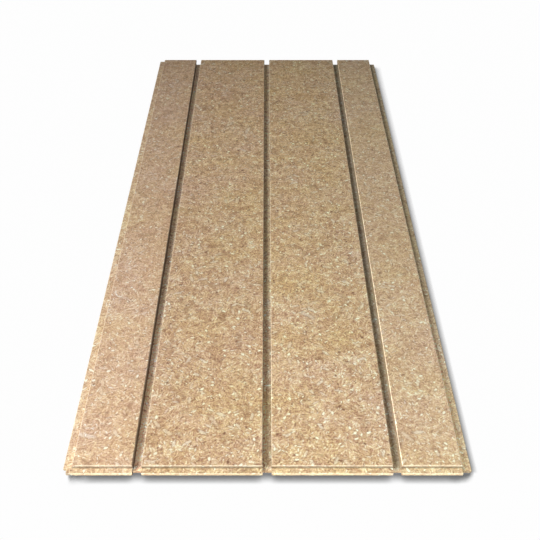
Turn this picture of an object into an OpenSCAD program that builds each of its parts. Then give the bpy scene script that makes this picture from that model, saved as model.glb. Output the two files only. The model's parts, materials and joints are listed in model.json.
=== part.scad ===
// Chipboard floor panel with open pipe channels for underfloor heating.
// Millimetres, +Z up. The origin is on the underside, below the middle of the top face.
// The channels run along Y. The front end, at -Y, and the left side, at -X, carry tongues.
// The back end and the right side are grooved for the same tongues on the next panels.

/* [Board] */
// Width of the top face, across the channels
cover_w = 600; // [500:1:900]
// Length of the top face, along the channels
cover_l = 1200; // [600:1:2400]
// Thickness of the board
board_t = 22; // [18:0.5:38]

/* [Pipe channels] */
// Number of channels
channel_count = 3; // [1:1:3]
// Distance between the middles of neighbouring channels
channel_pitch = 200; // [100:1:230]
// Width of a channel
channel_w = 14; // [8:0.5:25]
// Depth of a channel below the top face
channel_d = 14; // [8:0.5:17]

/* [Tongues and grooves] */
// Thickness of the lip above each tongue and groove
upper_lip_t = 6.5; // [4:0.5:8]
// Thickness of a tongue
tongue_t = 7; // [4:0.5:9]
// How far the front tongue stands out past the top face
front_tongue_l = 9.5; // [5:0.5:12]
// How far the front end below the upper lip stands out past the top face
front_step_l = 2.2; // [0.4:0.2:3]
// How far the left tongue stands out
left_tongue_l = 14; // [9:0.5:20]
// Distance from the left tongue's tip to the end of the front tongue
corner_notch_w = 5.5; // [1:0.5:8]
// How far the right lower lip stands out past the top face
lower_lip_l = 17; // [9:0.5:24]
// Spare height of a groove over the tongue that goes in it
groove_gap = 0.3; // [0.1:0.1:0.6]
// Spare depth of a groove past the tip of the tongue
tip_gap = 0.5; // [0.2:0.1:1]
// Solid left where a groove stops at a tongued corner
groove_stop_w = 4; // [2:0.5:10]

/* [Edges] */
// Bevel along the outside edges of the top face
top_bevel = 1.5; // [0.5:0.1:2.5]
// Bevel along both edges of a channel
channel_bevel = 0.8; // [0.3:0.1:2]
// Bevel along the tips of the tongues and of the lower lip
tip_bevel = 0.8; // [0.3:0.1:1.5]

/* [Hidden] */
over_cut = 1;

left_x = -cover_w / 2;
right_x = cover_w / 2;
front_y = -cover_l / 2;
back_y = cover_l / 2;

tongue_top_z = board_t - upper_lip_t;
tongue_z = tongue_top_z - tongue_t;
groove_z = tongue_z - groove_gap;
channel_z = board_t - channel_d;

left_tip_x = left_x - left_tongue_l;
undercut_x = left_x + lower_lip_l + tip_gap;
right_groove_x = right_x - left_tongue_l - tip_gap;
lower_lip_x = right_x + lower_lip_l;
front_tip_y = front_y - front_tongue_l;
front_step_y = front_y - front_step_l;
back_lip_y = back_y - front_step_l - tip_gap;
back_groove_y = back_y - front_tongue_l - tip_gap;
channel_x = [for (i = [0 : channel_count - 1]) (i - (channel_count - 1) / 2) * channel_pitch];

// Runs an outline drawn in X and Z along the board, from y0 to y1
module along_board(y0, y1) {
    translate([0, y1, 0])
    rotate([90, 0, 0])
    linear_extrude(y1 - y0)
    children();
}

// Runs an outline drawn in Y and Z across the board, from x0 to x1
module across_board(x0, x1) {
    translate([x0, 0, 0])
    rotate([90, 0, 90])
    linear_extrude(x1 - x0)
    children();
}

// Cross-section with the left tongue, the undercut below it, and the right lower lip
module board_outline() {
    polygon([
        [left_x + top_bevel, board_t],
        [left_x, board_t - top_bevel],
        [left_x, tongue_top_z],
        [left_tip_x + tip_bevel, tongue_top_z],
        [left_tip_x, tongue_top_z - tip_bevel],
        [left_tip_x, tongue_z + tip_bevel],
        [left_tip_x + tip_bevel, tongue_z],
        [undercut_x, tongue_z],
        [undercut_x, 0],
        [lower_lip_x, 0],
        [lower_lip_x, groove_z - tip_bevel],
        [lower_lip_x - tip_bevel, groove_z],
        [right_x, groove_z],
        [right_x, board_t - top_bevel],
        [right_x - top_bevel, board_t]
    ]);
}

module front_tongue_outline() {
    polygon([
        [front_y, tongue_z],
        [front_y, tongue_top_z],
        [front_tip_y + tip_bevel, tongue_top_z],
        [front_tip_y, tongue_top_z - tip_bevel],
        [front_tip_y, tongue_z + tip_bevel],
        [front_tip_y + tip_bevel, tongue_z]
    ]);
}

// Takes the upper lip back from the front end
module front_rebate() {
    across_board(left_x - over_cut, right_x + over_cut)
    translate([front_step_y - over_cut, tongue_top_z])
    square([front_step_l + over_cut, upper_lip_t + over_cut]);
}

// Takes the back end below the groove back, so that the upper lips of two panels meet first
module back_rebate() {
    across_board(left_tip_x - over_cut, lower_lip_x + over_cut)
    translate([back_lip_y, -over_cut])
    square([back_y + over_cut - back_lip_y, groove_z + over_cut]);
}

// Groove along the right side, over the lower lip
module right_groove() {
    along_board(front_y + groove_stop_w, back_y + over_cut)
    translate([right_groove_x, groove_z])
    square([right_x + over_cut - right_groove_x, tongue_top_z - groove_z]);
}

// Groove across the back end
module back_groove() {
    across_board(left_x + groove_stop_w, lower_lip_x + over_cut)
    translate([back_groove_y, groove_z])
    square([back_y + over_cut - back_groove_y, tongue_top_z - groove_z]);
}

// Wedge that bevels the top edge of the front end
module end_bevel() {
    across_board(left_x - over_cut, right_x + over_cut)
    polygon([
        [front_y - over_cut, board_t + over_cut],
        [front_y - over_cut, board_t - top_bevel - over_cut],
        [front_y + top_bevel + over_cut, board_t + over_cut]
    ]);
}

// Flat-bottomed channel, open at the top and at both ends
module channel() {
    along_board(front_tip_y - over_cut, back_y + over_cut)
    polygon([
        [-channel_w / 2, channel_z],
        [channel_w / 2, channel_z],
        [channel_w / 2, board_t - channel_bevel],
        [channel_w / 2 + channel_bevel + over_cut, board_t + over_cut],
        [-channel_w / 2 - channel_bevel - over_cut, board_t + over_cut],
        [-channel_w / 2, board_t - channel_bevel]
    ]);
}

// Break in the front tongue where a channel comes out
module tongue_break() {
    along_board(front_tip_y - over_cut, front_step_y)
    translate([-channel_w / 2, min(channel_z, tongue_z - over_cut)])
    square([channel_w, tongue_t + 2 * over_cut]);
}

module grooved_panel() {
    color("burlywood")
    difference() {
        union() {
            along_board(front_step_y, back_y)
            board_outline();
            across_board(left_tip_x + corner_notch_w, right_x)
            front_tongue_outline();
        }
        front_rebate();
        back_rebate();
        right_groove();
        back_groove();
        end_bevel();
        mirror([0, 1, 0])
        end_bevel();
        for (x = channel_x)
            translate([x, 0, 0]) {
                channel();
                tongue_break();
            }
    }
}

grooved_panel();
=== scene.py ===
"""Looks of a chipboard floor panel with three pipe channels: its worn arrises, its chips, and a plain studio.

Everything is in metres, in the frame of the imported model, apart from the lengths in the chipboard's
material, which are in millimetres. The sizes and colours that a user would change are in the property
groups. One operator makes the board, and the other makes the studio.
"""

import json
import math
from collections import namedtuple

import bmesh
import bpy
from bpy.props import FloatProperty, FloatVectorProperty, PointerProperty
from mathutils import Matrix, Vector, noise


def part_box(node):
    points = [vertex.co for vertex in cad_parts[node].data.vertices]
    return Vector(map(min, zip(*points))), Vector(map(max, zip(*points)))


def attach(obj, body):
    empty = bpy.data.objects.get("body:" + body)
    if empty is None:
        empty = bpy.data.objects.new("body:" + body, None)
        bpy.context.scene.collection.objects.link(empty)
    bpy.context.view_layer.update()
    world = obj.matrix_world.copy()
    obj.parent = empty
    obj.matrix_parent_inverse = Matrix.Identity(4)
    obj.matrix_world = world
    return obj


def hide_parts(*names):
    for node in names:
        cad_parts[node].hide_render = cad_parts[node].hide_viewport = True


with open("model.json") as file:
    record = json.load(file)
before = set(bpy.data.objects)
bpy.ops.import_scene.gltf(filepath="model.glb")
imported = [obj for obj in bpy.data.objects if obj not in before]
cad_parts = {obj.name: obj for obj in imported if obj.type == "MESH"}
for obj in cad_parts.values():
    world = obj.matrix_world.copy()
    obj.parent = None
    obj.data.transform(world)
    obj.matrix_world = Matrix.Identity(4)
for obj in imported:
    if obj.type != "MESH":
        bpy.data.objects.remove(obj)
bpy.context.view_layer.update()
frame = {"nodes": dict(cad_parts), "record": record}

bl_info = {
    "name": "Grooved Floor Panel",
    "version": (1, 0, 0),
    "blender": (4, 5, 0),
    "location": "View3D > Sidebar > Floor Panel",
    "description": "Makes a chipboard underfloor heating panel and a plain studio around it",
    "category": "Object",
}

NODE = "grooved_panel"
BODY = "root"
SLOT = "chipboard"
PIECE = "chipboard_panel"
LOW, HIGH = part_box(NODE)
MOUNTS = {entry["name"]: Vector(entry["pos_m"]) for entry in frame["record"]["mounts"]}
OPENINGS = {entry["name"]: entry["box_m"] for entry in frame["record"]["physics"]["openings"]}
OPENING_MARGIN = 0.0002
FRONT = MOUNTS["front_joint"].y
FRONT_STEP = OPENINGS["front_undercut"][1][1] + OPENING_MARGIN
BACK = MOUNTS["back_joint"].y
LEFT = MOUNTS["left_joint"].x
RIGHT = MOUNTS["right_joint"].x
TONGUE_TOP = OPENINGS["over_front_tongue"][0][2] - OPENING_MARGIN
LIP_TOP = OPENINGS["over_right_lip"][0][2] - OPENING_MARGIN
CHANNEL = MOUNTS["channel_floor_2"]
CHANNEL_PITCH = MOUNTS["channel_floor_3"].x - CHANNEL.x
CHANNEL_HALF = OPENINGS["pipe_channel_2"][1][0] + OPENING_MARGIN - CHANNEL.x

PER_METRE = 1000.0

# The curve from a screen's values to linear light
SCREEN_WHITE = 255.0
CURVE_KNEE = 0.04045
CURVE_SLOPE = 12.92
CURVE_OFFSET = 0.055
CURVE_POWER = 2.4


def linear(red, green, blue):
    """A colour given as it looks on a screen, from 0 to 255, as Blender's linear colour."""

    def channel(value):
        share = value / SCREEN_WHITE
        if share <= CURVE_KNEE:
            return share / CURVE_SLOPE
        return ((share + CURVE_OFFSET) / (1.0 + CURVE_OFFSET)) ** CURVE_POWER

    return (channel(red), channel(green), channel(blue), 1.0)


# ---------------------------------------------------------------- settings


class PanelBoardSettings(bpy.types.PropertyGroup):
    """How finely the board's arrises are cut up, and how much they are worn."""

    step: FloatProperty(
        name="Step", description="Length of arris that one move covers",
        default=0.003, min=0.001, max=0.02, subtype="DISTANCE", unit="LENGTH",
    )
    waviness: FloatProperty(
        name="Waviness", description="How far the saw and sander left the arrises from straight",
        default=0.00025, min=0.0, max=0.001, subtype="DISTANCE", unit="LENGTH",
    )
    chip_depth: FloatProperty(
        name="Chip Depth", description="Depth of the places where a chip has broken out of an arris",
        default=0.0011, min=0.0, max=0.003, subtype="DISTANCE", unit="LENGTH",
    )
    chip_share: FloatProperty(
        name="Chip Share", description="Share of an arris that has broken chips",
        default=0.12, min=0.0, max=1.0, subtype="FACTOR",
    )


class PanelChipSettings(bpy.types.PropertyGroup):
    """Colours of the pressed wood chips, and the tints of painted light and shade."""

    base: FloatVectorProperty(
        name="Fines", description="Colour of the fine dust and glue between the chips",
        size=4, subtype="COLOR", min=0.0, max=1.0, default=linear(219, 189, 153),
    )
    middle: FloatVectorProperty(
        name="Middle Chips", description="Colour of the common pale chips",
        size=4, subtype="COLOR", min=0.0, max=1.0, default=linear(237, 210, 172),
    )
    light: FloatVectorProperty(
        name="Light Chips", description="Colour of the palest slivers",
        size=4, subtype="COLOR", min=0.0, max=1.0, default=linear(255, 252, 226),
    )
    dark: FloatVectorProperty(
        name="Dark Chips", description="Colour of the common dark chips",
        size=4, subtype="COLOR", min=0.0, max=1.0, default=linear(193, 153, 121),
    )
    bark: FloatVectorProperty(
        name="Bark", description="Colour of the small specks of bark",
        size=4, subtype="COLOR", min=0.0, max=1.0, default=linear(136, 99, 78),
    )
    core: FloatVectorProperty(
        name="Core", description="What the paler milled core of the board is multiplied by",
        size=4, min=0.0, max=2.0, default=(1.11, 1.18, 1.17, 1.0),
    )
    routed: FloatVectorProperty(
        name="Routed", description="What the routed channel floors are multiplied by",
        size=4, min=0.0, max=2.0, default=(1.14, 1.31, 1.52, 1.0),
    )
    # Painted light colour: a greener tint on the right side, for the cooler light there
    right_light_hue: FloatVectorProperty(
        name="Right Light Hue", description="What the greener right side is multiplied by",
        size=4, subtype="COLOR", min=0.0, max=1.0, default=(0.97, 1.0, 0.98, 1.0),
    )
    golden: FloatVectorProperty(
        name="Golden", description="What the yellower middle of the board is multiplied by",
        size=4, subtype="COLOR", min=0.0, max=1.0, default=(1.0, 0.99, 0.90, 1.0),
    )
    # Painted light colour: a redder tint on the left side, for the warmer key light from the left
    left_light_hue: FloatVectorProperty(
        name="Left Light Hue", description="What the redder left side is multiplied by",
        size=4, subtype="COLOR", min=0.0, max=1.0, default=(0.985, 0.96, 0.98, 1.0),
    )
    # Painted shade: what the shaded inner corners, channel walls and floors, upright faces and right lip are
    # multiplied by
    painted_shade: FloatVectorProperty(
        name="Painted Shade", description="What grimy inner corners, walls and ledges are multiplied by",
        size=4, subtype="COLOR", min=0.0, max=1.0, default=(0.40, 0.43, 0.47, 1.0),
    )
    # Painted shade: what the channel walls that face right, away from the key lamp, are multiplied by
    painted_wall_shade: FloatVectorProperty(
        name="Painted Wall Shade", description="What the channel walls that the cutter burnt are multiplied by",
        size=4, subtype="COLOR", min=0.0, max=1.0, default=(0.27, 0.29, 0.32, 1.0),
    )


class PanelStudioSettings(bpy.types.PropertyGroup):
    """Camera, lamps and floor."""

    camera_place: FloatVectorProperty(
        name="Camera", description="Where the camera stands",
        size=3, subtype="XYZ", unit="LENGTH", default=(-0.0010, -0.9079, 0.8555),
    )
    camera_tilt: FloatProperty(
        name="Tilt", description="How far the camera is turned up from looking straight down",
        default=math.radians(40.02), subtype="ANGLE", unit="ROTATION",
    )
    lens: FloatProperty(
        name="Lens", description="Focal length on a sensor 36 mm wide",
        default=36.43, min=10.0, max=200.0,
    )
    shift: FloatProperty(
        name="Shift", description="Sideways shift of the lens, as a share of the picture",
        default=0.0065,
    )
    key_place: FloatVectorProperty(
        name="Key Lamp", description="Where the key lamp stands",
        size=3, subtype="XYZ", unit="LENGTH", default=(-2.485, -2.036, 2.732),
    )
    key_aim: FloatVectorProperty(
        name="Key Aim", description="Point on the floor that the middle of the key lamp's cone meets",
        size=3, subtype="XYZ", unit="LENGTH", default=(-0.508, -1.782, 0.0),
    )
    key_cone: FloatProperty(
        name="Key Cone", description="Full angle of the key lamp's soft-edged cone",
        default=math.radians(81.24), subtype="ANGLE", unit="ROTATION",
    )
    key_power: FloatProperty(
        name="Key Power", description="Power of the key lamp",
        default=957.0, min=0.0, unit="POWER",
    )
    key_radius: FloatProperty(
        name="Key Radius", description="Radius of the key lamp",
        default=1.1, min=0.01, subtype="DISTANCE", unit="LENGTH",
    )
    front_place: FloatVectorProperty(
        name="Front Lamp", description="Where the low lamp before the front end stands",
        size=3, subtype="XYZ", unit="LENGTH", default=(-0.1, -2.2, 0.35),
    )
    front_power: FloatProperty(
        name="Front Power", description="Power of the low lamp before the front end",
        default=14.0, min=0.0, unit="POWER",
    )
    front_size: FloatProperty(
        name="Front Size", description="Width of the low lamp before the front end",
        default=0.6, min=0.01, subtype="DISTANCE", unit="LENGTH",
    )
    side_place: FloatVectorProperty(
        name="Side Lamp", description="Where the weak lamp that fills the shadows from the right stands",
        size=3, subtype="XYZ", unit="LENGTH", default=(0.75, -0.98, 0.45),
    )
    side_aim: FloatVectorProperty(
        name="Side Aim", description="Point that the weak lamp on the right faces",
        size=3, subtype="XYZ", unit="LENGTH", default=(0.3, -0.55, 0.0),
    )
    side_power: FloatProperty(
        name="Side Power", description="Power of the weak lamp on the right",
        default=1.5, min=0.0, unit="POWER",
    )
    side_size: FloatProperty(
        name="Side Size", description="Width of the weak lamp on the right",
        default=0.4, min=0.01, subtype="DISTANCE", unit="LENGTH",
    )
    fill: FloatProperty(
        name="Fill", description="Strength of the light from all round",
        default=0.13, min=0.0, max=1.0,
    )
    shadow_reach: FloatProperty(
        name="Shadow Reach",
        description="How far the contact shadow runs over the floor beside the front end",
        default=0.0122, min=0.001, subtype="DISTANCE", unit="LENGTH",
    )
    shadow_ahead: FloatProperty(
        name="Shadow Ahead",
        description="How far the contact shadow runs over the floor before the front end",
        default=0.0183, min=0.001, subtype="DISTANCE", unit="LENGTH",
    )
    shadow_growth: FloatProperty(
        name="Shadow Growth",
        description="How much farther the contact shadow runs for each metre towards the back",
        default=0.008, min=0.0, subtype="FACTOR",
    )


# ---------------------------------------------------------------- node building


class Value:
    """A socket in a node tree. Arithmetic on it adds Math nodes."""

    def __init__(self, nodes, socket):
        self.nodes = nodes
        self.socket = socket

    def __add__(self, other):
        return self.nodes.math("ADD", self, other)

    def __radd__(self, other):
        return self.nodes.math("ADD", other, self)

    def __sub__(self, other):
        return self.nodes.math("SUBTRACT", self, other)

    def __rsub__(self, other):
        return self.nodes.math("SUBTRACT", other, self)

    def __mul__(self, other):
        return self.nodes.math("MULTIPLY", self, other)

    def __rmul__(self, other):
        return self.nodes.math("MULTIPLY", other, self)

    def __truediv__(self, other):
        return self.nodes.math("DIVIDE", self, other)

    def __rtruediv__(self, other):
        return self.nodes.math("DIVIDE", other, self)


def identified(sockets, identifier):
    """The socket with one identifier, on a node whose sockets share their names."""
    return next(socket for socket in sockets if socket.identifier == identifier)


class Nodes:
    """Builds one node tree."""

    def __init__(self, tree):
        self.tree = tree
        tree.nodes.clear()

    def add(self, kind, settings=None, inputs=None):
        """A node of one kind: its settings are set first, and then its sockets are filled or linked."""
        node = self.tree.nodes.new(kind)
        for name, setting in (settings or {}).items():
            if name == "stops":
                self.set_stops(node.color_ramp, setting)
            else:
                setattr(node, name, setting)
        for name, value in (inputs or {}).items():
            self.fill(node.inputs[name], value)
        return node

    def fill(self, socket, value):
        """Links a socket to a value from another node, or sets it to a plain one."""
        if isinstance(value, Value):
            self.tree.links.new(value.socket, socket)
        else:
            socket.default_value = value

    def set_stops(self, ramp, stops):
        """Gives a ramp its places and colours."""
        while len(ramp.elements) < len(stops):
            ramp.elements.new(1.0)
        for element, (position, colour) in zip(ramp.elements, stops):
            element.position = position
            element.color = colour

    def out(self, node, name):
        """One of a node's outputs."""
        return Value(self, node.outputs[name])

    def math(self, operation, *values):
        """Works on numbers."""
        node = self.add("ShaderNodeMath", {"operation": operation})
        for index, value in enumerate(values):
            self.fill(node.inputs[index], value)
        return self.out(node, "Value")

    def vector(self, operation, *values, scale=None, output="Vector"):
        """Works on vectors and colours."""
        node = self.add("ShaderNodeVectorMath", {"operation": operation})
        for index, value in enumerate(values):
            self.fill(node.inputs[index], value)
        if scale is not None:
            self.fill(node.inputs["Scale"], scale)
        return self.out(node, output)

    def parts(self, vector):
        """The three numbers of a vector."""
        node = self.add("ShaderNodeSeparateXYZ", inputs={"Vector": vector})
        return [self.out(node, axis) for axis in "XYZ"]

    def smooth(self, value, start, end):
        """0 at start, 1 at end, and smooth between."""
        node = self.add(
            "ShaderNodeMapRange",
            {"interpolation_type": "SMOOTHSTEP"},
            {"Value": value, "From Min": start, "From Max": end},
        )
        return self.out(node, "Result")

    def band(self, value, windows):
        """1 where two windows are both open, and 0 where either is shut."""
        first, second = windows
        return self.smooth(value, *first) * self.smooth(value, *second)

    def mix(self, share, first, second, blend="MIX"):
        """The first colour where share is 0 and the second where it is 1."""
        node = self.add("ShaderNodeMix", {"data_type": "RGBA", "blend_type": blend}, {"Factor": share})
        self.fill(identified(node.inputs, "A_Color"), first)
        self.fill(identified(node.inputs, "B_Color"), second)
        return Value(self, identified(node.outputs, "Result_Color"))

    def tint(self, share, colour, factor):
        """A colour multiplied by a factor where share is 1, and as it was where share is 0."""
        return self.mix(share, colour, tuple(factor), blend="MULTIPLY")

    def mix_shaders(self, share, first, second):
        """The first shader where share is 0 and the second where it is 1."""
        node = self.add("ShaderNodeMixShader", inputs={"Fac": share})
        self.fill(node.inputs[1], first)
        self.fill(node.inputs[2], second)
        return self.out(node, "Shader")

    def noise(self, place, size, detail=2.0, roughness=0.5, output="Fac"):
        """Soft noise whose lumps are about one size across, in the units of place."""
        node = self.add(
            "ShaderNodeTexNoise",
            {"noise_dimensions": "3D"},
            {"Vector": place, "Scale": 1.0 / size, "Detail": detail, "Roughness": roughness},
        )
        return self.out(node, output)


def empty_nodes(owner):
    """Turns on the nodes of a material or world, and clears them."""
    owner.use_nodes = True
    return Nodes(owner.node_tree)


def placed(name, data):
    """A new object of the scene that holds a mesh, a lamp or a camera."""
    made = bpy.data.objects.new(name, data)
    bpy.context.scene.collection.objects.link(made)
    return made


def finished(name, mesh, material):
    """A new object of the scene from a finished bmesh."""
    data = bpy.data.meshes.new(name)
    mesh.to_mesh(data)
    mesh.free()
    data.materials.append(material)
    return placed(name, data)


# ---------------------------------------------------------------- chipboard

# Lengths in this section are in millimetres, and a drift is a place across the board from -1 at its
# left edge to 1 at its right. A window is a pair of values: the mask made from it is 0 at the first
# and 1 at the second. A pair of shares is for where a mask is 0 and where it is 1. A tint is what a
# colour is multiplied by.

TOP_MM = HIGH.z * PER_METRE
FRONT_MM = FRONT * PER_METRE
FRONT_STEP_MM = FRONT_STEP * PER_METRE
LEFT_MM = LEFT * PER_METRE
RIGHT_MM = RIGHT * PER_METRE
TONGUE_TOP_MM = TONGUE_TOP * PER_METRE
LIP_TOP_MM = LIP_TOP * PER_METRE
FLOOR_MM = CHANNEL.z * PER_METRE
HALF_MM = CHANNEL_HALF * PER_METRE
PITCH_MM = CHANNEL_PITCH * PER_METRE

# Where a point is, as windows on its place and on its normal
FLAT_TO_UPRIGHT = (0.5, 0.3)
SANDED_SKIN = (0.4, 1.6)
CORE_DEPTH = (3.0, 5.0)
LEFT_TO_RIGHT = (-0.2, 0.2)
TO_FRONT = (-0.3, -0.7)
LIP_TO_FRONT = (-0.2, -0.5)
LEFT_HALF = (-0.1, -0.7)
RIGHT_HALF = (0.1, 0.7)
NEAR_FRONT = (FRONT_MM + 420.0, FRONT_MM + 60.0)
BEHIND_FRONT = (FRONT_STEP_MM, FRONT_MM + 0.2)
CHANNEL_EDGE = (HALF_MM + 0.5, HALF_MM)
CHANNEL_DEPTH = (1.2, 2.0)
SHORT_OF_SIDES = (RIGHT_MM - 4.0, RIGHT_MM - 6.0)
ON_TOP_FACE = (LEFT_MM - 0.8, LEFT_MM)

# The fines
NOISE_MIDDLE = 0.5
RAGGED_SIZE = 6.0
RAGGED_REACH = (2.2, 2.2, 0.6)
LONGER_ACROSS = (0.8, 1.0, 1.0)
DUST_SIZE = 2.2
DUST_CONTRAST = 0.75
CLOUD_SIZE = 16.0
CLOUD_CONTRAST = 0.2
GRAIN_CELLS = ((10.0, 11.0, 2.4, 23.0), (6.5, 7.0, 1.8, 29.0))
GRAIN_PER_DEPTH = 0.3
GRAIN_CONTRAST = 0.9
CELL_CONTRAST = 0.15
TONE_MIDDLE = 0.5
TONE_STOPS = (0.10, 0.32, 0.52, 0.68, 0.86)
SPECKLE_SIZE = 2.6
SPECKLE_AMOUNT = (0.0, 0.26, 0.6)

# The layers of chips, from the lowest up. Cell, length and width are lengths. Pale and stained are
# shares of a layer's chips, and a share below 0 leaves none. Strength is how far the chip that only
# just belongs to its share has gone towards the palest or darkest wood, streaks and hue are how much
# a chip varies along itself and in colour, and fray is how ragged its outline is.
ChipLayer = namedtuple(
    "ChipLayer", "cell length width opacity pale stained streaks hue strength fray"
)
CHIP_LAYERS = (
    ChipLayer(26.0, 26.0, 7.0, 0.4, 0.2, 0.2, 1.2, 1.0, 0.1, 0.7),
    ChipLayer(15.0, 13.0, 4.4, 0.5, 0.25, 0.22, 1.0, 1.0, 0.1, 0.6),
    ChipLayer(9.0, 9.5, 2.2, 0.7, 0.22, 0.2, 0.0, 0.8, 0.15, 0.6),
    ChipLayer(6.0, 5.5, 1.7, 0.8, 0.24, 0.22, 0.0, 0.6, 0.25, 0.7),
    ChipLayer(6.5, 3.8, 2.2, 1.0, 0.17, 0.1, 0.0, 0.3, 0.45, 0.8),
    ChipLayer(13.0, 8.5, 3.2, 0.95, 0.2, 0.0, 0.8, 0.25, 0.5, 1.3),
    ChipLayer(8.5, 5.0, 3.0, 1.0, 0.14, 0.0, 0.3, 0.2, 0.65, 1.3),
    ChipLayer(15.0, 4.6, 3.0, 0.95, -0.2, 0.14, 0.0, 0.2, 0.6, 1.0),
)
CELL_FLATNESS = 3.2
CELL_SHIFT = (7.31, 3.17, 5.53)
THICKNESS_STRETCH = 0.8
SLIVER_SIZES = (0.5, 0.8)
SLIVER_EDGE = (1.08, 0.8)
RIM_EDGE = (1.6, 1.05)
RIM_SHARE = 0.35
CROWDING = 0.5
PALE_EDGE = (-0.06, 0.08)
STAINED_EDGE = (0.04, -0.08)
SHARE_CONTRAST = 0.7
STREAK_SCALE = (0.15, 0.8, 0.3)
HUE_AMOUNT = (0.02, 0.08, 0.34)

# Slow changes over the board, with painted light: lighter far along it, darker at the back, and lighter and
# darker strips near the front
PATCH_SIZE = 70.0
PATCH_STRETCH = (0.6, 1.0, 1.0)
PATCH_AMOUNT = (0.0, 0.08, 0.5)
OUTER_STRIPS = (0.6, 0.75)
OUTER_CALM = 0.2
# Painted light colour across the board: greener to the right, redder to the left
RIGHT_LIGHT_SIDE = (-0.2, 1.0)
LEFT_LIGHT_SIDE = (0.3, -1.0)
GOLDEN_MIDDLE = (0.95, 0.3)
FAR_LENGTH = (-100.0, 300.0)
BACK_LENGTH = (500.0, 600.0)
BACK_SHADE_FALL = 1.5
FAR_LIGHT_GAIN = 0.07
FRONT_LENGTH = (200.0, -200.0)
SECOND_STRIP = ((0.0, -0.15), (-0.7, -0.62))
FIRST_STRIP = (-0.7, -0.78)
STRIP_LIGHT_GAIN = 0.05

# The channels, with painted light and shade on their floors, mouths and walls
FLOOR_LIT = (5.0, -6.0)
FLOOR_LIT_LEAST = 0.35
FLOOR_LIT_TINT = (1.4, 1.4, 1.4, 1.0)
FLOOR_SHADED = (-4.0, 3.0)
SHADED_SHIFT = 4.0
SHADED_TINT = (0.78, 0.77, 0.76, 1.0)
FIRST_FLOOR_LIGHT_SHARE = 0.5
FIRST_FLOOR_LIGHT_TINT = (1.25, 1.25, 1.25, 1.0)
THIRD_FLOOR_SHADE_SHARES = (0.4, 0.05)
THIRD_LEFT = (-1.5, -5.0)
THIRD_LEFT_LIGHT_TINT = (1.28, 1.28, 1.28, 1.0)
THIRD_MIDDLE = ((-2.5, 0.5), (8.0, 4.0))
THIRD_MIDDLE_SHADE_SHARE = 0.4
MOUTH_LENGTH = (FRONT_MM + 3.0, FRONT_MM - 1.0)
MOUTH_HEIGHT = (FLOOR_MM + 1.0, FLOOR_MM)
MOUTH_LIGHT_SHARES = (0.45, 1.15)
MOUTH_LIGHT_TINT = (1.7, 1.58, 1.48, 1.0)
WALL_SHADE_SHARES = (0.45, 0.2)

# The upright faces, the right lip, the ends of lip and tongue, and the inner corners, with painted shade, and
# painted light on the right lip
UPPER_LIP_DEPTH = (6.0, 6.6)
UPRIGHT_SHADE_SHARES = (0.45, 0.15)
FRONT_SHADE_SHARE = 0.85
LIP_START = (RIGHT_MM - 0.2, RIGHT_MM + 0.2)
FRONT_LIP_LIGHT_LENGTH = (FRONT_MM, FRONT_MM + 10.0)
FRONT_LIP_LIGHT_WIDTH = (RIGHT_MM + 9.0, RIGHT_MM + 3.0)
FRONT_LIP_LIGHT_TINT = (1.65, 1.6, 1.6, 1.0)
LIP_SHADE_LENGTH = (FRONT_MM + 130.0, FRONT_MM + 420.0)
LIP_SHADE_SHARE = 0.4
LIP_INNER_LIGHT_WIDTH = (RIGHT_MM + 11.5, RIGHT_MM + 8.5)
LIP_INNER_LIGHT_LENGTH = ((FRONT_MM + 900.0, FRONT_MM + 400.0), (FRONT_MM + 2.0, FRONT_MM + 12.0))
LIP_INNER_LIGHT_TINT = (1.4, 1.4, 1.4, 1.0)
TONGUE_END_SHADE = 0.6
LIP_END_START = (RIGHT_MM + 0.2, RIGHT_MM + 1.0)
LIP_END_DEPTH = (6.0, 10.0)
LIP_END_SHADE_TINT = (0.55, 0.54, 0.53, 1.0)
CREASE_CORE = 0.2
FRONT_CREASE = 1.9
FRONT_CREASE_LEAST = 0.3
LEFT_CREASE = 1.6
LEFT_CREASE_SHARE = 0.4
RIGHT_CREASE = 2.0
RIGHT_CREASE_SHARES = (0.3, 0.05)
CHANNEL_CREASE = 1.5
CHANNEL_CREASE_SHARE = 0.3

# The arrises, and the painted highlights and shade on them by the way they turn
ARRIS_TILT = ((0.3, 0.6), (0.95, 0.8))
ARRIS_SHARES = (0.05, 0.5)
TURNED = (0.3, 0.6)
PAST_LEFT_EDGE = (LEFT_MM + 50.0, LEFT_MM + 60.0)
FRONT_BEVEL_DEPTH = ((0.3, 1.3), (4.0, 3.0))
RIGHT_TURN_GAIN = 0.05
RIGHT_TURN_SLOPE = 0.8
RIGHT_TURN_MOST = 0.5
LIP_TIP = (RIGHT_MM + 4.0, RIGHT_MM + 5.0)
LEFT_TURN_HIGHLIGHTS = (0.26, 0.41, 0.48)
FRONT_TURN_SHADE = 0.3

ROUGHNESS_LEAST = 0.72
ROUGHNESS_SPREAD = 0.2
SPECULAR = 0.3
BUMP_STRENGTH = 0.6
BUMP_DISTANCE = 0.0003


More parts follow.
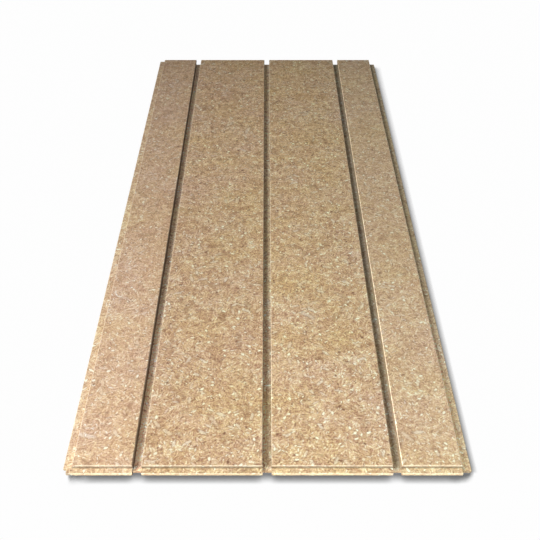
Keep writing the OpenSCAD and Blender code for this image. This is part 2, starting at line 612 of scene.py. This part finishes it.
class Spot:
    """A shaded point of the board, as sockets: where it lies, which way it faces and what it is part of."""

    def __init__(self, nodes):
        coordinates = nodes.add("ShaderNodeTexCoord")
        geometry = nodes.add("ShaderNodeNewGeometry")
        self.place = nodes.vector("MULTIPLY", nodes.out(coordinates, "Object"), (PER_METRE,) * 3)
        self.x, self.y, self.z = nodes.parts(self.place)
        self.side, self.facing, self.tilt = nodes.parts(nodes.out(geometry, "True Normal"))
        self.depth = TOP_MM - self.z
        self.drift = self.x * (1.0 / RIGHT_MM)
        self.off_middle = nodes.math("ABSOLUTE", self.drift)
        self.offset = nodes.math("WRAP", self.x, -PITCH_MM / 2.0, PITCH_MM / 2.0)
        self.across = nodes.math("ABSOLUTE", self.offset)

        self.upright = nodes.smooth(nodes.math("ABSOLUTE", self.tilt), *FLAT_TO_UPRIGHT)
        self.inside = nodes.smooth(self.depth, *SANDED_SKIN) * nodes.smooth(self.z, *SANDED_SKIN)
        self.core = nodes.smooth(self.depth, *CORE_DEPTH) * nodes.smooth(self.z, *CORE_DEPTH)
        self.near_front = nodes.smooth(self.y, *NEAR_FRONT)
        self.behind_front = nodes.smooth(self.y, *BEHIND_FRONT)
        self.to_left = nodes.smooth(self.drift, *LEFT_HALF)
        self.to_right = nodes.smooth(self.drift, *RIGHT_HALF)
        self.within_channel = nodes.smooth(self.across, *CHANNEL_EDGE)
        short_of_sides = nodes.smooth(nodes.math("ABSOLUTE", self.x), *SHORT_OF_SIDES)
        self.in_channel = self.within_channel * nodes.smooth(self.depth, *CHANNEL_DEPTH) * short_of_sides

        self.dust = nodes.noise(self.place, DUST_SIZE, detail=3.0, roughness=0.7)
        self.cloud = nodes.noise(self.place, CLOUD_SIZE, detail=4.0, roughness=0.6)
        ragged = nodes.noise(self.place, RAGGED_SIZE, output="Color")
        ragged = nodes.vector("SUBTRACT", ragged, (NOISE_MIDDLE,) * 3)
        ragged = nodes.vector("ADD", self.place, nodes.vector("MULTIPLY", ragged, RAGGED_REACH))
        self.ragged = nodes.vector("MULTIPLY", ragged, LONGER_ACROSS)


def turned_cells(nodes, place, cell, seed):
    """Cells that lie flat, each with its own turn.

    Returns a point's place in its cell, turned the cell's way and in units of place, and the
    cell's own random vector."""
    cells = nodes.vector("MULTIPLY", place, (1.0 / cell, 1.0 / cell, CELL_FLATNESS / cell))
    cells = nodes.vector("ADD", cells, tuple(seed * shift for shift in CELL_SHIFT))
    voronoi = nodes.add(
        "ShaderNodeTexVoronoi",
        {"voronoi_dimensions": "3D", "feature": "F1", "distance": "EUCLIDEAN"},
        {"Vector": cells, "Scale": 1.0, "Randomness": 1.0},
    )
    from_middle = nodes.vector("SUBTRACT", cells, nodes.out(voronoi, "Position"))
    random = nodes.out(voronoi, "Color")
    turned = nodes.add(
        "ShaderNodeVectorRotate",
        {"rotation_type": "Z_AXIS"},
        {"Vector": from_middle, "Angle": nodes.parts(random)[0] * math.tau},
    )
    return nodes.vector("SCALE", nodes.out(turned, "Vector"), scale=cell), random


def slivers(nodes, place, layer, seed, fray):
    """Slivers that lie flat, one to a cell, with their edges moved in and out by fray.

    Returns how far a point is covered, how near it is to the rim outside, the sliver's own
    random vector, and the point's place in it."""
    local, random = turned_cells(nodes, place, layer.cell, seed)
    stretch = (2.0 / layer.length, 2.0 / layer.width, THICKNESS_STRETCH / layer.width)
    stretched = nodes.vector("MULTIPLY", local, stretch)
    smallest, spread = SLIVER_SIZES
    size = smallest + spread * nodes.parts(random)[1]
    distance = nodes.vector("LENGTH", stretched, output="Value") / size + fray
    cover = nodes.smooth(distance, *SLIVER_EDGE)
    rim = nodes.smooth(distance, *RIM_EDGE) * (1.0 - cover)
    return cover, rim, random, local


def recoloured(nodes, colour, random, amount):
    """The colour with each channel raised or lowered by its own random number."""
    start = tuple(1.0 - share / 2.0 for share in amount)
    shift = nodes.vector("MULTIPLY_ADD", random, amount, start)
    return nodes.vector("MULTIPLY", colour, shift)


def crease(nodes, first, second, reach):
    """Painted shade along an inner corner: 1 where two distances are both 0, and 0 at reach from it."""
    distance = nodes.math("SQRT", first * first + second * second)
    return nodes.smooth(distance, reach, reach * CREASE_CORE)


def swing(value):
    """Noise or a random number, moved so that its middle is 0."""
    return value - NOISE_MIDDLE


def between(mask, shares):
    """The first share where a mask is 0 and the second where it is 1."""
    clear, covered = shares
    return clear + (covered - clear) * mask


def fines(nodes, spot, settings):
    """The ground of fine chips, and its tone, which also stands for its height."""
    tone = TONE_MIDDLE + swing(spot.dust) * DUST_CONTRAST + swing(spot.cloud) * CLOUD_CONTRAST
    for cell, length, width, seed in GRAIN_CELLS:
        local, random = turned_cells(nodes, spot.ragged, cell, seed)
        grain = nodes.vector("MULTIPLY", local, (1.0 / length, 1.0 / width, GRAIN_PER_DEPTH))
        grain = nodes.noise(grain, 1.0, roughness=0.6)
        tone = tone + swing(nodes.parts(random)[2]) * CELL_CONTRAST + swing(grain) * GRAIN_CONTRAST
    woods = (settings.bark, settings.dark, settings.base, settings.middle, settings.light)
    stops = [(position, tuple(wood)) for position, wood in zip(TONE_STOPS, woods)]
    ramp = nodes.add("ShaderNodeValToRGB", {"stops": stops}, {"Fac": tone})
    speckle = nodes.noise(spot.place, SPECKLE_SIZE, roughness=0.6, output="Color")
    return recoloured(nodes, nodes.out(ramp, "Color"), speckle, SPECKLE_AMOUNT), tone


def with_chips(nodes, spot, settings, colour):
    """Pale and stained chips of each layer, laid over a colour."""
    crowd = swing(spot.cloud) * CROWDING
    for index, layer in enumerate(CHIP_LAYERS):
        fray = swing(spot.dust) * layer.fray
        cover, rim, random, local = slivers(nodes, spot.ragged, layer, index + 1.0, fray)
        tint = nodes.parts(random)[2] + crowd
        first_pale = 1.0 - layer.pale
        is_pale = nodes.smooth(tint, *(first_pale + edge for edge in PALE_EDGE))
        is_stained = nodes.smooth(tint, *(layer.stained + edge for edge in STAINED_EDGE))
        paleness = nodes.smooth(tint, first_pale, 1.0) * SHARE_CONTRAST + layer.strength
        darkness = nodes.smooth(tint, layer.stained, 0.0) * SHARE_CONTRAST + layer.strength
        if layer.streaks:
            streak = nodes.noise(nodes.vector("MULTIPLY", local, STREAK_SCALE), 1.0)
            paleness = paleness + swing(streak) * layer.streaks
            darkness = darkness + swing(streak) * layer.streaks
        paler = nodes.mix(paleness, tuple(settings.middle), tuple(settings.light))
        darker = nodes.mix(darkness, tuple(settings.dark), tuple(settings.bark))
        wood = nodes.mix(is_stained, paler, darker)
        wood = recoloured(nodes, wood, random, tuple(amount * layer.hue for amount in HUE_AMOUNT))
        shown = nodes.math("MAXIMUM", is_pale, is_stained)
        colour = nodes.mix(rim * shown * RIM_SHARE, colour, tuple(settings.bark))
        colour = nodes.mix(cover * shown * layer.opacity, colour, wood)
    return colour


def with_patches(nodes, spot, settings, colour):
    """Broad patches, calmer outer strips, a yellower middle, and a painted light colour: redder left, greener
    right.
    """
    stretched = nodes.vector("MULTIPLY", spot.place, PATCH_STRETCH)
    patches = nodes.noise(stretched, PATCH_SIZE, detail=4.0, roughness=0.6, output="Color")
    colour = recoloured(nodes, colour, patches, PATCH_AMOUNT)
    calmed = nodes.smooth(spot.off_middle, *OUTER_STRIPS) * OUTER_CALM
    colour = nodes.mix(calmed, colour, tuple(settings.base))
    colour = nodes.tint(nodes.smooth(spot.drift, *RIGHT_LIGHT_SIDE), colour, settings.right_light_hue)
    colour = nodes.tint(nodes.smooth(spot.drift, *LEFT_LIGHT_SIDE), colour, settings.left_light_hue)
    return nodes.tint(nodes.smooth(spot.off_middle, *GOLDEN_MIDDLE), colour, settings.golden)


def with_channels(nodes, spot, settings, colour):
    """The milled core and the routed channel floors, with painted light and shade on the floors, mouths and
    walls.
    """
    colour = nodes.tint(spot.core * (1.0 - spot.in_channel), colour, settings.core)
    routed = spot.in_channel * (1.0 - spot.upright)
    colour = nodes.tint(routed, colour, settings.routed)

    # Painted light on the left part of the channel floors, most near the front, and painted shade on their
    # right part near the front
    lit = nodes.smooth(spot.offset, *FLOOR_LIT) * (FLOOR_LIT_LEAST + spot.near_front)
    colour = nodes.tint(routed * lit, colour, FLOOR_LIT_TINT)
    shaded = nodes.smooth(spot.offset + spot.to_right * SHADED_SHIFT, *FLOOR_SHADED)
    shaded = shaded * spot.near_front * (1.0 - spot.to_left)
    colour = nodes.tint(routed * shaded, colour, SHADED_TINT)
    # Painted light on the first channel's floor
    colour = nodes.tint(routed * spot.to_left * FIRST_FLOOR_LIGHT_SHARE, colour, FIRST_FLOOR_LIGHT_TINT)

    # Painted shade on the third channel's floor and its middle strip, and painted light on its left part
    third = routed * spot.to_right
    colour = nodes.tint(third * between(spot.near_front, THIRD_FLOOR_SHADE_SHARES), colour, settings.painted_shade)
    colour = nodes.tint(third * nodes.smooth(spot.offset, *THIRD_LEFT), colour, THIRD_LEFT_LIGHT_TINT)
    middle_strip = nodes.band(spot.offset, THIRD_MIDDLE)
    colour = nodes.tint(third * middle_strip * THIRD_MIDDLE_SHADE_SHARE, colour, settings.painted_shade)

    # Painted light on the channel floors at their mouths in the front end
    mouth = nodes.smooth(spot.y, *MOUTH_LENGTH) * nodes.smooth(spot.z, *MOUTH_HEIGHT)
    mouth = mouth * spot.within_channel * between(spot.to_left, MOUTH_LIGHT_SHARES)
    colour = nodes.tint(mouth, colour, MOUTH_LIGHT_TINT)

    # Painted shade on the channel walls: deep on those that face right, and less near the front on those that
    # face left
    wall = spot.in_channel * spot.upright
    facing_right = nodes.smooth(spot.side, *LEFT_TO_RIGHT)
    colour = nodes.tint(wall * facing_right, colour, settings.painted_wall_shade)
    facing_left = wall * (1.0 - facing_right)
    return nodes.tint(facing_left * between(spot.near_front, WALL_SHADE_SHARES), colour, settings.painted_shade)


def with_edges(nodes, spot, settings, colour):
    """Painted shade on upright faces, lip and tongue ends and inner corners, and painted light on the right
    lip.
    """
    facing_front = nodes.smooth(spot.facing, *TO_FRONT)
    # Painted shade and a darker dense face layer on the upright faces of the top layer: deepest facing front,
    # least near the front end
    upper_lip = spot.upright * spot.inside * (1.0 - nodes.smooth(spot.depth, *UPPER_LIP_DEPTH))
    share = between(spot.near_front, UPRIGHT_SHADE_SHARES)
    share = share + (FRONT_SHADE_SHARE - share) * facing_front
    colour = nodes.tint(upper_lip * share, colour, settings.painted_shade)

    on_lip = nodes.smooth(spot.x, *LIP_START) * nodes.smooth(spot.depth, *CORE_DEPTH)
    # Painted light on the right lip near the front and along its inner part, and painted shade on it farther
    # back
    front_lip_light = nodes.smooth(spot.y, *FRONT_LIP_LIGHT_LENGTH) * nodes.smooth(spot.x, *FRONT_LIP_LIGHT_WIDTH)
    colour = nodes.tint(on_lip * spot.near_front * front_lip_light, colour, FRONT_LIP_LIGHT_TINT)
    lip_shade = nodes.smooth(spot.y, *LIP_SHADE_LENGTH)
    colour = nodes.tint(on_lip * lip_shade * LIP_SHADE_SHARE, colour, settings.painted_shade)
    lip_inner_light = nodes.smooth(spot.x, *LIP_INNER_LIGHT_WIDTH) * nodes.band(spot.y, LIP_INNER_LIGHT_LENGTH)
    colour = nodes.tint(on_lip * lip_inner_light, colour, LIP_INNER_LIGHT_TINT)

    on_top = nodes.smooth(spot.x, *ON_TOP_FACE)
    # Painted shade on the front end of the left tongue and on the front face of the right lip
    colour = nodes.tint(facing_front * (1.0 - on_top) * TONGUE_END_SHADE, colour, settings.painted_shade)
    lip_end = nodes.smooth(spot.x, *LIP_END_START) * nodes.smooth(spot.facing, *LIP_TO_FRONT)
    colour = nodes.tint(lip_end * nodes.smooth(spot.depth, *LIP_END_DEPTH), colour, LIP_END_SHADE_TINT)

    # Painted shade in the inner corners over the tongues, beside the right lip and at the foot of the channel
    # walls
    above_tongue = spot.z - TONGUE_TOP_MM
    front = crease(nodes, spot.y - FRONT_MM, above_tongue, FRONT_CREASE)
    left = crease(nodes, spot.x - LEFT_MM, above_tongue, LEFT_CREASE)
    right = crease(nodes, spot.x - RIGHT_MM, spot.z - LIP_TOP_MM, RIGHT_CREASE)
    channel = crease(nodes, spot.across - HALF_MM, spot.z - FLOOR_MM, CHANNEL_CREASE)
    corners = (
        front * on_top * (FRONT_CREASE_LEAST + spot.dust),
        left * spot.behind_front * LEFT_CREASE_SHARE,
        right * spot.behind_front * between(spot.near_front, RIGHT_CREASE_SHARES),
        channel * spot.behind_front * CHANNEL_CREASE_SHARE,
    )
    for corner in corners:
        colour = nodes.tint(corner, colour, settings.painted_shade)
    return colour


def with_arrises(nodes, spot, settings, colour):
    """Worn pale arrises, painted highlights and shade by their turn, and painted light along the board."""
    arris = nodes.band(spot.tilt, ARRIS_TILT)
    colour = nodes.mix(arris * between(spot.dust, ARRIS_SHARES), colour, tuple(settings.light))

    # Painted shade on right-turned arrises to the left and painted light on those to the right, deep painted
    # shade on the lip's tip, painted highlights on left-turned arrises and painted shade on the front bevel
    tip = nodes.smooth(spot.x, *LIP_TIP)
    right_turn_light = nodes.math("MINIMUM", spot.drift * RIGHT_TURN_SLOPE, RIGHT_TURN_MOST) - tip + RIGHT_TURN_GAIN
    turned_right = arris * nodes.smooth(spot.side, *TURNED)
    level, slope, curve = LEFT_TURN_HIGHLIGHTS
    left_turn_highlight = level + spot.drift * slope + spot.drift * spot.drift * curve
    turned_left = arris * nodes.smooth(0.0 - spot.side, *TURNED)
    turned_left = turned_left * nodes.smooth(spot.x, *PAST_LEFT_EDGE)
    turned_front = arris * nodes.smooth(0.0 - spot.facing, *TURNED)
    turned_front = turned_front * nodes.band(spot.depth, FRONT_BEVEL_DEPTH)

    # Painted light along the board: lighter far from the front, darker at the back, a lighter outer left
    # strip and a darker second strip near the front
    far = nodes.smooth(spot.y, *FAR_LENGTH) - nodes.smooth(spot.y, *BACK_LENGTH) * BACK_SHADE_FALL
    strips = nodes.smooth(spot.drift, *FIRST_STRIP) - nodes.band(spot.drift, SECOND_STRIP)
    strength = 1.0 + turned_right * right_turn_light + turned_left * left_turn_highlight - turned_front * FRONT_TURN_SHADE
    strength = strength + far * FAR_LIGHT_GAIN + nodes.smooth(spot.y, *FRONT_LENGTH) * strips * STRIP_LIGHT_GAIN
    return nodes.vector("SCALE", colour, scale=strength)


def chipboard_material(settings):
    """Pressed wood chips: fines and slivers, a paler milled core, painted light and shade, and worn arrises.
    """
    material = bpy.data.materials.new(SLOT)
    nodes = empty_nodes(material)
    spot = Spot(nodes)
    colour, tone = fines(nodes, spot, settings)
    for finish in (with_chips, with_patches, with_channels, with_edges, with_arrises):
        colour = finish(nodes, spot, settings, colour)
    bump = nodes.add(
        "ShaderNodeBump",
        inputs={"Strength": BUMP_STRENGTH, "Distance": BUMP_DISTANCE, "Height": tone},
    )
    shader = nodes.add(
        "ShaderNodeBsdfPrincipled",
        inputs={
            "Base Color": colour,
            "Roughness": ROUGHNESS_LEAST + ROUGHNESS_SPREAD * spot.dust,
            "Normal": nodes.out(bump, "Normal"),
            "Specular IOR Level": SPECULAR,
        },
    )
    nodes.add("ShaderNodeOutputMaterial", inputs={"Surface": nodes.out(shader, "BSDF")})
    return material


# ---------------------------------------------------------------- the board

MERGE_DISTANCE = 0.00001
FLAT_ANGLE = math.radians(1.0)
SQUARE_ON = 0.99
CORNER_STRETCH = math.sqrt(2.0)

# How a worn arris runs: lumps for each metre, and two shifts that keep one run apart from the others
WAVES = (110.0, 0.0, 0.0)
RIPPLES = (330.0, 0.0, 7.0)
BREAKS = (150.0, 5.0, 3.0)
WAVE_MIDDLE = 0.6
RIPPLE_SHARE = 0.7
THRESHOLD_HIGHEST = 0.5
BREAK_GAIN = 2.0


def stations(start, end, step):
    """Places between start and end, step apart."""
    count = int((end - start) / step)
    return [start + step * (index + 0.5) for index in range(count)]


def cut_across(mesh, axis, places, faces):
    """Cuts faces by planes square to one axis, from the lowest plane to the highest."""
    side = Vector([1.0 if index == axis else 0.0 for index in range(3)])
    ahead = list(faces)
    for place in places:
        ahead = [face for face in ahead if max(vert.co[axis] for vert in face.verts) > place + MERGE_DISTANCE]
        near = [face for face in ahead if min(vert.co[axis] for vert in face.verts) < place - MERGE_DISTANCE]
        edges = dict.fromkeys(edge for face in near for edge in face.edges)
        verts = dict.fromkeys(vert for face in near for vert in face.verts)
        cut = bmesh.ops.bisect_plane(
            mesh,
            geom=[*verts, *edges, *near],
            dist=MERGE_DISTANCE,
            plane_co=side * place,
            plane_no=side,
        )
        made = [part for part in cut["geom"] if isinstance(part, bmesh.types.BMFace)]
        ahead = list(dict.fromkeys([*ahead, *made]))


def run(place, scale, shift, level):
    """Soft noise over the board as seen from above."""
    return noise.noise(Vector((place.x * scale + shift, place.y * scale, level)))


def break_depth(place, settings):
    """How far an arris is worn back at one place."""
    threshold = THRESHOLD_HIGHEST - settings.chip_share
    broken = max(0.0, run(place, *BREAKS) - threshold) / (1.0 - threshold)
    waves = WAVE_MIDDLE + run(place, *WAVES) + RIPPLE_SHARE * run(place, *RIPPLES)
    return settings.waviness * waves + settings.chip_depth * broken * BREAK_GAIN


def wear_arrises(mesh, settings):
    """Moves each point of a bevel inwards, and keeps points of the flat faces in their planes."""
    moves = []
    for vert in mesh.verts:
        normals = [face.normal for face in vert.link_faces]
        slopes = [normal for normal in normals if max(abs(part) for part in normal) < SQUARE_ON]
        if not slopes:
            continue
        inwards = -sum(slopes, Vector())
        inwards.normalize()
        for normal in normals:
            for axis in range(3):
                if abs(normal[axis]) > SQUARE_ON:
                    inwards[axis] = 0.0
        moves.append((vert, inwards * break_depth(vert.co, settings) * CORNER_STRETCH))
    for vert, move in moves:
        vert.co += move


def make_board(settings, chips):
    """The board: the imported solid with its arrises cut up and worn."""
    mesh = bmesh.new()
    mesh.from_mesh(frame["nodes"][NODE].data)
    bmesh.ops.remove_doubles(mesh, verts=mesh.verts, dist=MERGE_DISTANCE)
    bmesh.ops.dissolve_limit(mesh, angle_limit=FLAT_ANGLE, verts=mesh.verts, edges=mesh.edges)
    cut_across(mesh, 1, stations(LOW.y, HIGH.y, settings.step), mesh.faces)
    ends = [
        face for face in mesh.faces
        if min(vert.co.y for vert in face.verts) < FRONT + settings.step
        or max(vert.co.y for vert in face.verts) > BACK - settings.step
    ]
    cut_across(mesh, 0, stations(LOW.x, HIGH.x, settings.step), ends)
    mesh.normal_update()
    wear_arrises(mesh, settings)
    mesh.normal_update()
    board = finished(PIECE, mesh, chipboard_material(chips))
    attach(board, BODY)
    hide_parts(NODE)


class PANEL_OT_board(bpy.types.Operator):
    """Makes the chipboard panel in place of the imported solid"""

    bl_idname = "floor_panel.board"
    bl_label = "Make Board"

    def execute(self, context):
        scene = context.scene
        make_board(scene.panel_board, scene.panel_chips)
        return {"FINISHED"}


# ---------------------------------------------------------------- the studio

WHITE = (1.0, 1.0, 1.0, 1.0)
SENSOR_WIDTH = 36.0
FRONT_FOOT = (0.0, FRONT, 0.0)

# The floor, and its contact shadow beside the board and ahead of its front end. A leaning is the
# way from a floor point to where the board is looked for, and a window is as for the chipboard.
FLOOR_HALF = 6.0
FLOOR_GAP = 0.0002
FLOOR_COLOUR = (0.8, 0.8, 0.8, 1.0)
FLOOR_SHADES = (0.17, 0.99)
COVER_SAMPLES = 16
BESIDE_LEANING = (-0.85, 0.45, 0.25)
BESIDE_WINDOW = (0.37, 1.02)
AHEAD_LEANING = {"Y": 1.25, "Z": 1.0}
AHEAD_SHUT = 0.237
AHEAD_OPEN = 0.903
LEFT_END = (LEFT + 0.024, LEFT - 0.004)
LEFT_END_SHUT = 0.36
RIGHT_END = (RIGHT - 0.024, RIGHT + 0.01)
RIGHT_END_SHUT = 0.28
PAST_LEFT = (LEFT - 0.004, LEFT - 0.016)
PAST_RIGHT = (RIGHT + 0.014, RIGHT + 0.026)
PAST_LOSS = 0.67
AHEAD_START = (FRONT - 0.0004, FRONT - 0.0044)


def seen_ray(nodes):
    """1 for a ray from the camera, in a mirror or through glass, and 0 for light on the object."""
    path = nodes.add("ShaderNodeLightPath")
    seen = nodes.out(path, "Is Camera Ray")
    for name in ("Is Glossy Ray", "Is Transmission Ray"):
        seen = nodes.math("MAXIMUM", seen, nodes.out(path, name))
    return seen


def clear_of_board(nodes, leaning, reach, window):
    """1 where nothing stands on the side of a floor point that leaning gives, and 0 close to the board."""
    shade = nodes.add(
        "ShaderNodeAmbientOcclusion",
        {"samples": COVER_SAMPLES},
        {"Distance": reach, "Normal": nodes.vector("NORMALIZE", leaning)},
    )
    return nodes.smooth(nodes.out(shade, "AO"), *window)


def clear_floor(nodes, settings):
    """1 on open floor, and 0 in the deepest of the board's contact shadow."""
    place = nodes.out(nodes.add("ShaderNodeTexCoord"), "Object")
    x, y = nodes.parts(place)[:2]
    reach_beside = settings.shadow_reach + (y - FRONT) * settings.shadow_growth
    beside = clear_of_board(nodes, BESIDE_LEANING, reach_beside, BESIDE_WINDOW)
    left_end = nodes.smooth(x, *LEFT_END)
    right_end = nodes.smooth(x, *RIGHT_END)
    inwards = nodes.add("ShaderNodeCombineXYZ", inputs={"X": left_end - right_end, **AHEAD_LEANING})
    past_ends = nodes.smooth(x, *PAST_LEFT) + nodes.smooth(x, *PAST_RIGHT)
    reach_ahead = (1.0 - past_ends * PAST_LOSS) * settings.shadow_ahead
    shut = AHEAD_SHUT + left_end * LEFT_END_SHUT + right_end * RIGHT_END_SHUT
    ahead = clear_of_board(nodes, nodes.out(inwards, "Vector"), reach_ahead, (shut, AHEAD_OPEN))
    return beside + (ahead - beside) * nodes.smooth(y, *AHEAD_START)


def floor_material(settings):
    """White, with the contact shadow where the floor is seen."""
    material = bpy.data.materials.new("floor")
    nodes = empty_nodes(material)
    shade = between(clear_floor(nodes, settings), FLOOR_SHADES)
    seen = nodes.add("ShaderNodeEmission", inputs={"Color": shade, "Strength": 1.0})
    lit = nodes.add("ShaderNodeBsdfDiffuse", inputs={"Color": FLOOR_COLOUR})
    surface = nodes.mix_shaders(seen_ray(nodes), nodes.out(lit, "BSDF"), nodes.out(seen, "Emission"))
    nodes.add("ShaderNodeOutputMaterial", inputs={"Surface": surface})
    return material


def make_floor(settings):
    """A white floor that keeps a soft contact shadow towards the front and the right."""
    mesh = bmesh.new()
    bmesh.ops.create_grid(mesh, x_segments=1, y_segments=1, size=FLOOR_HALF)
    bmesh.ops.translate(mesh, verts=mesh.verts, vec=(0.0, 0.0, LOW.z - FLOOR_GAP))
    floor = finished("floor", mesh, floor_material(settings))


def make_world(settings):
    """Even light from all round, seen as white."""
    world = bpy.data.worlds.new("studio")
    nodes = empty_nodes(world)
    light, backdrop = (
        nodes.add("ShaderNodeBackground", inputs={"Color": WHITE, "Strength": strength})
        for strength in (settings.fill, 1.0)
    )
    surface = nodes.mix_shaders(
        seen_ray(nodes), nodes.out(light, "Background"), nodes.out(backdrop, "Background")
    )
    nodes.add("ShaderNodeOutputWorld", inputs={"Surface": surface})
    bpy.context.scene.world = world


def make_lamp(name, kind, place, aim, power, settings):
    """A lamp that faces a point."""
    data = bpy.data.lights.new(name, kind)
    data.energy = power
    for setting, value in settings.items():
        setattr(data, setting, value)
    lamp = placed(name, data)
    lamp.rotation_euler = (Vector(aim) - Vector(place)).to_track_quat("-Z", "Y").to_euler()
    lamp.location = place


def make_camera(settings):
    """The camera, which looks back and down on the board from before its front end."""
    data = bpy.data.cameras.new("camera")
    data.sensor_width = SENSOR_WIDTH
    data.lens = settings.lens
    data.shift_x = settings.shift
    camera = placed("camera", data)
    camera.location = settings.camera_place
    camera.rotation_euler = (settings.camera_tilt, 0.0, 0.0)
    bpy.context.scene.camera = camera


class PANEL_OT_studio(bpy.types.Operator):
    """Makes the floor, the lamps and the camera"""

    bl_idname = "floor_panel.studio"
    bl_label = "Make Studio"

    def execute(self, context):
        settings = context.scene.panel_studio
        context.scene.view_settings.view_transform = "Standard"
        make_floor(settings)
        make_world(settings)
        make_lamp(
            "key", "SPOT", settings.key_place, settings.key_aim, settings.key_power,
            {"spot_size": settings.key_cone, "spot_blend": 1.0, "shadow_soft_size": settings.key_radius},
        )
        make_lamp(
            "front", "AREA", settings.front_place, FRONT_FOOT, settings.front_power,
            {"shape": "SQUARE", "size": settings.front_size},
        )
        make_lamp(
            "side", "AREA", settings.side_place, settings.side_aim, settings.side_power,
            {"shape": "SQUARE", "size": settings.side_size},
        )
        make_camera(settings)
        return {"FINISHED"}


class PANEL_PT_sidebar(bpy.types.Panel):
    """Lists what makes the panel and its studio"""

    bl_idname = "PANEL_PT_sidebar"
    bl_label = "Floor Panel"
    bl_space_type = "VIEW_3D"
    bl_region_type = "UI"
    bl_category = "Floor Panel"

    def draw(self, context):
        for settings, operator in (
            (context.scene.panel_board, PANEL_OT_board.bl_idname),
            (context.scene.panel_chips, None),
            (context.scene.panel_studio, PANEL_OT_studio.bl_idname),
        ):
            box = self.layout.box()
            for name in settings.__annotations__:
                box.prop(settings, name)
            if operator:
                box.operator(operator)


CLASSES = (
    PanelBoardSettings,
    PanelChipSettings,
    PanelStudioSettings,
    PANEL_OT_board,
    PANEL_OT_studio,
    PANEL_PT_sidebar,
)


def register():
    for entry in CLASSES:
        bpy.utils.register_class(entry)
    bpy.types.Scene.panel_board = PointerProperty(type=PanelBoardSettings)
    bpy.types.Scene.panel_chips = PointerProperty(type=PanelChipSettings)
    bpy.types.Scene.panel_studio = PointerProperty(type=PanelStudioSettings)


def unregister():
    del bpy.types.Scene.panel_studio
    del bpy.types.Scene.panel_chips
    del bpy.types.Scene.panel_board
    for entry in reversed(CLASSES):
        bpy.utils.unregister_class(entry)


def main():
    """Makes everything."""
    register()
    bpy.ops.floor_panel.studio()
    bpy.ops.floor_panel.board()


if __name__ == "__main__":
    main()
